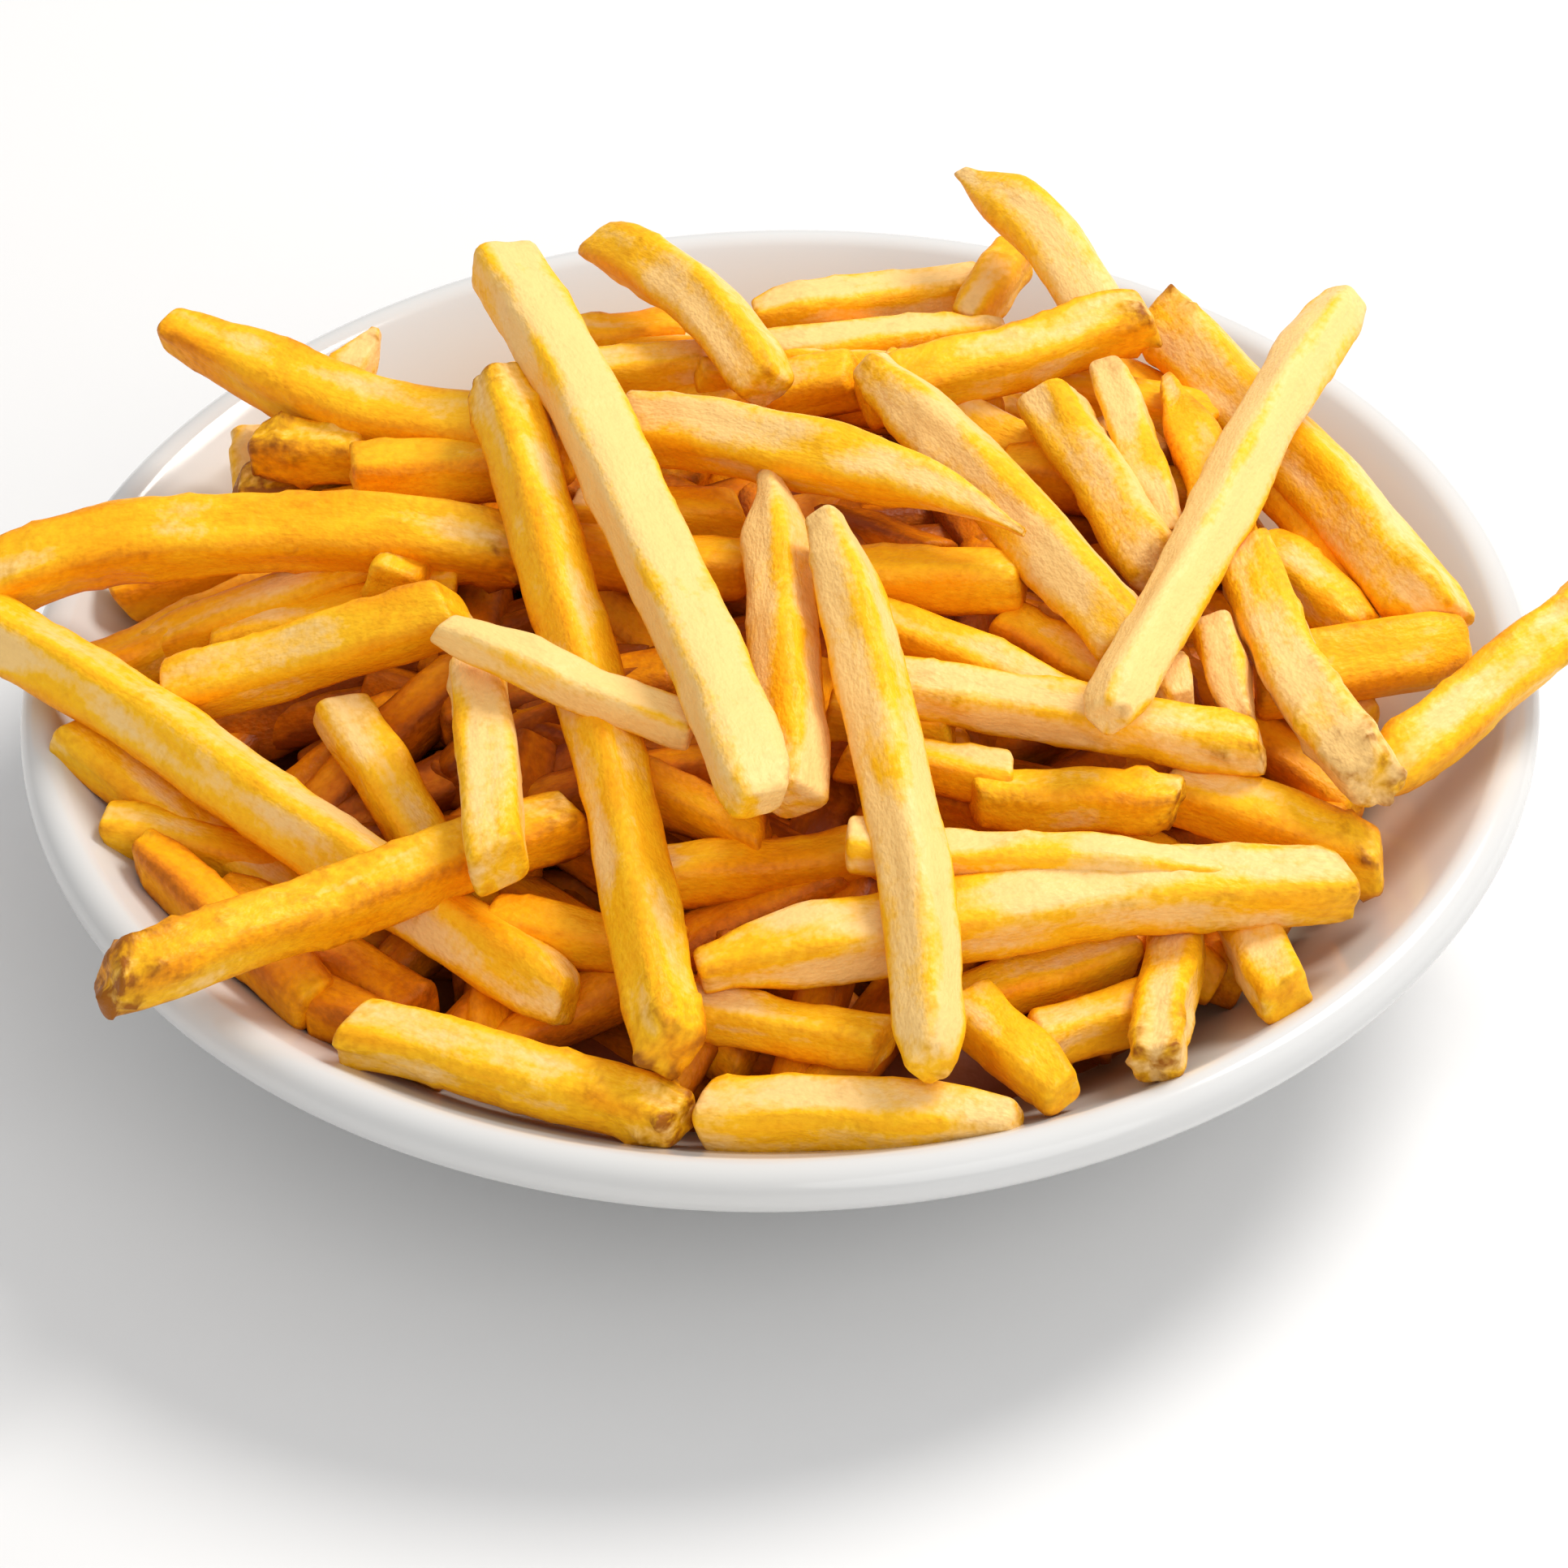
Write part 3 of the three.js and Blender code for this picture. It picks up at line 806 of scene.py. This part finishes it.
def make_lights():
    """A warm key light high at the back right, a wide fill at the front right, and a pale dome
    that is brighter overhead than near the ground."""
    add_light("key", (560, 400, 900), 480, 9.8, (1.0, 0.965, 0.925))
    add_light("front_fill", (420, -850, 650), 900, 3.3, (1.0, 0.99, 0.97))
    world = bpy.data.worlds.new("studio")
    bpy.context.scene.world = world
    world.use_nodes = True
    nodes, links = world.node_tree.nodes, world.node_tree.links
    place = nodes.new("ShaderNodeTexCoord").outputs["Generated"]
    split = nodes.new("ShaderNodeSeparateXYZ")
    links.new(place, split.inputs["Vector"])
    dome = add_ramp(nodes, links, split.outputs["Z"], (
        (0.0, (0.62, 0.62, 0.63)),
        (0.9, (1.0, 1.0, 1.0)),
    ))
    links.new(dome, nodes["Background"].inputs["Color"])
    nodes["Background"].inputs["Strength"].default_value = 0.74


def make_camera():
    """A long lens 1 m away, 40 degrees above the table, rolled a little, as the view's right
    side sits higher."""
    elevation = math.radians(40)
    target = np.array([0.3, 0.0, 19.5])
    place = target + 1000 * np.array([0, -math.cos(elevation), math.sin(elevation)])
    data = bpy.data.cameras.new("camera")
    data.lens = 172
    data.sensor_width = 36
    data.clip_start = 0.05
    camera = bpy.data.objects.new("camera", data)
    bpy.context.scene.collection.objects.link(camera)
    aim(camera, place, target)
    camera.rotation_euler.rotate_axis("Z", math.radians(-1.4))
    bpy.context.scene.camera = camera


# ---- The portion -------------------------------------------------------------------------

make_camera()
potato = fried_potato()
bowl = make_bowl(porcelain())
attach(bowl, "root")
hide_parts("bowl")

# The core is a dark mound in painted shade colours, filling under the fries.
core = make_core(heap_shade())
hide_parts("fries")
draw = np.random.default_rng(5)
deep_layer = under_fries(56, 20, draw)
middle_layer = under_fries(84, 11.5, draw)
groups = [
    core,
    join_fries("long_fries", LONG_FRIES, potato, 0),
    join_fries("upper_fries", UPPER_FRIES, potato, 20),
    join_fries("rim_fries", RIM_FRIES, potato, 60),
    join_fries("side_fries", SIDE_FRIES, potato, 80),
    join_fries("back_fries", back_fries(), potato, 140, BACK_STEPS, BACK_ROW_STEP),
    join_fries("middle_fries", middle_layer, potato, 256, UNDER_STEPS, UNDER_ROW_STEP),
    join_fries("deep_fries", deep_layer, potato, 200, UNDER_STEPS, UNDER_ROW_STEP),
]
for group in groups:
    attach(group, "root")

make_floor()
make_lights()
bpy.context.scene.view_settings.view_transform = "Standard"
